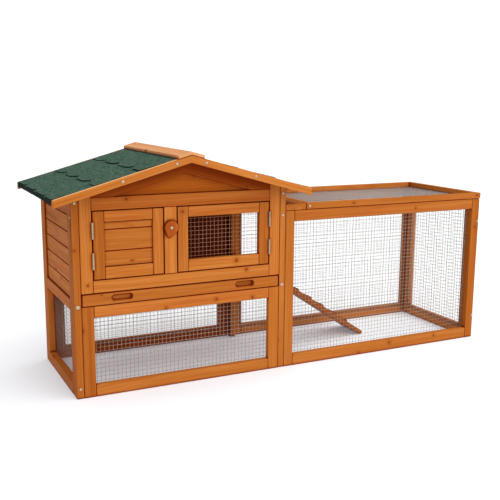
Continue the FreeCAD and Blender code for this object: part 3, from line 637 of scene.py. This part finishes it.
def staples(solid, corners, run, step, thin, inward, face):
    """Staples along the two edges of a sheet that lie along run, each over one wire."""
    low, high = corners
    top = face + inward[thin] * (4 * WIRE_R + STAPLE_R)
    count = max(round((high[run] - low[run]) / STAPLE_GAP), 2)
    for side in (low[step] + STAPLE_IN, high[step] - STAPLE_IN):
        for i in range(count):
            middle = low[run] + (high[run] - low[run]) * (i + 0.5) / count
            path = []
            for end, depth in ((-1, face), (-1, top), (1, top), (1, face)):
                point = Vector((0, 0, 0))
                point[run] = middle + end * STAPLE_HALF
                point[step] = side
                point[thin] = depth
                path.append(point)
            solid.tube(path, STAPLE_R)


def wire_sheet(node, inward, material, dice):
    """Welded square mesh in the place of a CAD sheet. inward points from the frame into the hutch."""
    low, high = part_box(node)
    thin = max(range(3), key=lambda i: abs(inward[i]))
    first, second = [i for i in range(3) if i != thin]
    face = low[thin] if inward[thin] > 0 else high[thin]
    solid = Solid()
    for layer, (run, step) in enumerate(((first, second), (second, first))):
        depth = face + inward[thin] * (WIRE_R + layer * (2 * WIRE_R - WELD_SINK))
        span = high[step] - low[step] - 2 * WIRE_R
        count = int(span / WIRE_PITCH)
        edge = low[step] + WIRE_R + (span - count * WIRE_PITCH) / 2
        for i in range(count + 1):
            point = Vector((0, 0, 0))
            point[thin] = depth
            point[step] = edge + i * WIRE_PITCH
            path = []
            for end in (low[run], (low[run] + high[run]) / 2, high[run]):
                here = point.copy()
                here[run] = end
                here[step] += dice.uniform(-WIRE_WANDER, WIRE_WANDER) * MM
                path.append(here)
            solid.tube(path, WIRE_R)
        staples(solid, (low, high), run, step, thin, inward, face)
    made = solid.make("wire_" + node, material, smooth=True)
    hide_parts(node)
    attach(made, body_of(node))


def wire_sheets():
    dice = random.Random(7)
    usual = metal("galvanised_wire", (0.44, 0.37, 0.30, 1), 0.50, 300.0, shine=0.2, gloss=0.2)
    lid = metal("lid_wire", (0.56, 0.55, 0.53, 1), 0.50, 300.0, shine=0.3)
    # painted shade: darker, warmer copies of the wire for the left wall and the right door, which lie
    # in shade; the door's copy also takes the wood's orange glow as painted light
    side = metal("shaded_side_wire", (0.38, 0.26, 0.20, 1), 0.50, 300.0, shine=0.3, gloss=0.3)
    door = metal("shaded_door_wire", (0.57, 0.24, 0.13, 1), 0.60, 300.0, shine=0.0, gloss=0.1)
    sheets = (("lower_front_mesh", Y, usual), ("back_wall_mesh", -Y, usual),
              ("run_front_mesh", Y, usual), ("run_back_mesh", -Y, usual), ("run_end_mesh", -X, usual),
              ("lid_mesh", Z, lid), ("left_wall_mesh", X, side), ("right_door_mesh", Y, door))
    for node, inward, material in sheets:
        wire_sheet(node, inward, material, dice)


# ---- roof felt ----
COURSE = 126.5 * MM           # from one row of tabs to the next
COURSE_LAP = 24 * MM          # how far a course runs on under the next
FELT_T = 2.3 * MM             # thickness
TAB_PITCH = 139.5 * MM
TAB_FLAT = 58 * MM            # straight part of a tab's low edge
TAB_RISE = 17 * MM            # how far the edge climbs between two tabs
TAB_LIFT = 2.2 * MM           # top of a tab's low edge above the roof skin
TAB_SINK = -1.3 * MM          # top of the same course where the next one covers it
FIRST_TAB_Y = -78 * MM        # middle of one tab
FIRST_COURSE = -7 * MM        # the lowest row of tabs, which the eave cuts short
TAB_ROWS = 3
COURSE_STEPS = 12             # rows of faces up one course
FELT_STRIPS = 110             # strips of faces across a slope
UNDERLAY = (-1.5 * MM, -2.75 * MM)      # top and underside of the sheet below the tabs
UNDERLAY_IN = 4 * MM          # how far that sheet starts inside the eave
RIDGE_GAP = 2 * MM            # how far the last row of tabs ends short of the ridge
TAB_STRAY = 1.2 * MM          # how far a tab's low edge may be off
FELT_WAVE = 0.12              # mm up or down of the small waves


def roof_point(side, x, y, above):
    """A point that far above the roof skin. x is on the left slope, and side -1 mirrors it."""
    z = APEX_Z - SLOPE * (MID_X - x) + above
    return Vector((x if side > 0 else 2 * MID_X - x, y, z))


def tab_edge(y):
    """How far up the slope a course's low edge lies at y: flat tabs with rounded corners between."""
    off = abs((y - FIRST_TAB_Y) / TAB_PITCH % 1.0 - 0.5)
    from_tab = (0.5 - off) * TAB_PITCH
    half, flat = TAB_PITCH / 2, TAB_FLAT / 2
    return TAB_RISE * (max(from_tab - flat, 0) / (half - flat)) ** 1.5


def facing_out(turn, top, bottom):
    """Both grids, with their rows reversed where the faces would otherwise point inwards."""
    return [[row[::-1] for row in grid] if turn else grid for grid in (top, bottom)]


def felt_course(solid, side, x_low, x_end, x_cut, ys, dice):
    """One overlapping row of tabs: a thin sheet with its own small waves, cut short at x_cut."""
    length = COURSE + COURSE_LAP
    tabs = [dice.uniform(-1, 1) for _ in range(8)]
    top = []
    bottom = []
    for i in range(COURSE_STEPS + 1):
        upper = []
        lower = []
        for y in ys:
            which = tabs[int((y - FIRST_TAB_Y) / TAB_PITCH + 20.5) % len(tabs)]
            start = max(x_low + tab_edge(y) + which * TAB_STRAY, x_cut)
            x = start + (x_end - start) * (i / COURSE_STEPS) ** 1.6
            share = min((x - x_low) / length, 1.0)
            lift = TAB_LIFT * (1 + 0.4 * which)
            above = lift + (TAB_SINK - lift) * share + dice.uniform(-FELT_WAVE, FELT_WAVE) * MM
            upper.append(roof_point(side, x, y, above))
            lower.append(roof_point(side, x, y, above - FELT_T))
        top.append(upper)
        bottom.append(lower)
    solid.sheet(*facing_out(side < 0, top, bottom))


def felt_fold(solid, side, eave, ys, dice):
    """The strip that turns down over the eave: two outlines of (mm in from it, mm above the skin)."""
    outer = ((24, -0.6), (3, -0.6), (1.2, -1.0), (0.2, -2.2), (0, -4), (0, -13))
    inner = ((24, -2.4), (4, -2.4), (3, -2.8), (2.4, -3.6), (2.2, -5), (2.2, -13))
    sag = [dice.uniform(-0.5, 0.5) for _ in ys]

    def line(points):
        lowest = min(dz for _, dz in points)
        return [[roof_point(side, eave + dx * MM, y, (dz - (sag[j] if dz == lowest else 0)) * MM)
                 for j, y in enumerate(ys)] for dx, dz in points]

    solid.sheet(*facing_out(side > 0, line(outer), line(inner)))


def roof_felt(material):
    for side, node in ((1, "roof_felt_left"), (-1, "roof_felt_right")):
        low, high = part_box(node)
        eave = low.x if side > 0 else 2 * MID_X - high.x
        dice = random.Random(31 + side)
        ys = [low.y + (high.y - low.y) * j / FELT_STRIPS for j in range(FELT_STRIPS + 1)]
        solid = Solid()
        underlay = [[[roof_point(side, x, y, above) for y in (low.y, high.y)]
                     for x in (eave + UNDERLAY_IN, MID_X)] for above in UNDERLAY]
        solid.sheet(*facing_out(side < 0, *underlay))
        felt_fold(solid, side, eave, ys, dice)
        for i in range(TAB_ROWS):
            x_low = eave + FIRST_COURSE + i * COURSE
            x_end = min(x_low + COURSE + COURSE_LAP, MID_X - RIDGE_GAP)
            felt_course(solid, side, x_low, x_end, eave + 1 * MM, ys, dice)
        made = solid.make("shingles_" + node[len("roof_felt_"):], material)
        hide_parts(node)
        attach(made, "hutch")


# ---- stage ----
def add_floor():
    half = 30.0               # metres, well past what any view shows
    corners = [(-half, -half, 0), (half, -half, 0), (half, half, 0), (-half, half, 0)]
    new_object("studio_floor", corners, [(0, 1, 2, 3)], floor_material())


# ---- screws and hinges ----
def islands(mesh):
    """The points of each separate solid in a mesh whose faces meet in place but share no vertices."""
    places = [tuple(round(c, 6) for c in vertex.co) for vertex in mesh.vertices]
    group = {place: place for place in places}

    def root(place):
        while group[place] != place:
            group[place] = group[group[place]]
            place = group[place]
        return place

    for edge in mesh.edges:
        group[root(places[edge.vertices[0]])] = root(places[edge.vertices[1]])
    found = {}
    for place in group:
        found.setdefault(root(place), []).append(Vector(place))
    return list(found.values())


def measure_screw(points):
    """Middle of a screw's head base, the way it points, and its head and shank sizes."""
    low = [min(p[i] for p in points) for i in range(3)]
    high = [max(p[i] for p in points) for i in range(3)]
    axis = max(range(3), key=lambda i: high[i] - low[i])
    middle = Vector([(a + b) / 2 for a, b in zip(low, high)])

    def radius(p):
        return math.hypot(*(p[i] - middle[i] for i in range(3) if i != axis))

    head_r = max(radius(p) for p in points)
    wide = [p[axis] for p in points if radius(p) > 0.97 * head_r]
    out = 1 if min(wide) > middle[axis] else -1
    top = high[axis] if out > 0 else low[axis]
    base = min(wide) if out > 0 else max(wide)
    shank_r = max(radius(p) for p in points if (p[axis] - middle[axis]) * out < 0)
    foot = middle.copy()
    foot[axis] = base
    toward = Vector((0, 0, 0))
    toward[axis] = out
    length = abs(base - (low[axis] if out > 0 else high[axis]))
    return foot, toward, head_r, abs(top - base), shank_r, length


SCREW_SIDES = 24
CROSS_ARM = 0.24              # half width of the recess's arms over their length


def pan_head(solid, foot, toward, head_r, head_t, shank_r, length, turn):
    """A domed screw head with a cross recess, on its shank."""
    across = toward.cross(Z if abs(toward.z) < 0.9 else X).normalized()
    other = toward.cross(across)
    # each ring is its radius, its height and whether it is cut as a cross
    rings = [(shank_r * 0.6, -length, 0), (shank_r, -length + shank_r, 0), (shank_r, 0, 0),
             (head_r, 0, 0)]
    rings += [(head_r * math.cos(a), head_t * (0.3 + 0.7 * math.sin(a)), 0)
              for a in (0, 0.35, 0.7, 1.02)]
    rings += [(head_r * 0.42, head_t, 1), (head_r * 0.36, head_t * 0.35, 1)]
    first = len(solid.verts)
    for ring_r, up, recess in rings:
        for k in range(SCREW_SIDES):
            angle = math.tau * k / SCREW_SIDES
            reach = ring_r
            if recess:
                off = angle % (math.pi / 2)
                off = min(off, math.pi / 2 - off)
                reach = min(ring_r / math.cos(off), ring_r * CROSS_ARM / max(math.sin(off), 0.01))
            around = across * math.cos(angle + turn) + other * math.sin(angle + turn)
            solid.verts.append(foot + toward * up + around * reach)
    for i in range(len(rings) - 1):
        for k in range(SCREW_SIDES):
            a, b = first + i * SCREW_SIDES + k, first + i * SCREW_SIDES + (k + 1) % SCREW_SIDES
            solid.faces.append((a, b, b + SCREW_SIDES, a + SCREW_SIDES))
    solid.faces.append(tuple(range(first + SCREW_SIDES - 1, first - 1, -1)))
    last = len(solid.verts) - SCREW_SIDES
    solid.faces.append(tuple(range(last, last + SCREW_SIDES)))


def screws(material):
    dice = random.Random(3)
    for node in ("roof_screws", "frame_bolts", "lid_screw", "turn_button_screw"):
        solid = Solid()
        for points in islands(frame["nodes"][node].data):
            pan_head(solid, *measure_screw(points), turn=dice.uniform(0, math.tau))
        made = solid.make("cross_head_" + node, material)
        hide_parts(node)
        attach(made, body_of(node))


def hinges(material):
    for node in ("fixed_hinge_leaves", "left_door_leaves", "right_door_leaves", "lid_leaves",
                 "ramp_leaf", "hinge_pins"):
        dress(node, material)


add_camera()
add_world()
add_sky_panel("key", towards=(0.24, -0.40, 0.885), spread=110.0, power=3.7)
add_floor()
front_timber()
side_timber()
roof_timber()
run_timber()
screws(metal("zinc_fastener", (0.66, 0.54, 0.40, 1), 0.42, 260.0, shine=0.45))
hinges(metal("hinge_steel", (0.50, 0.38, 0.23, 1), 0.45, 180.0, shine=0.4))
roof_felt(felt_material())
wire_sheets()
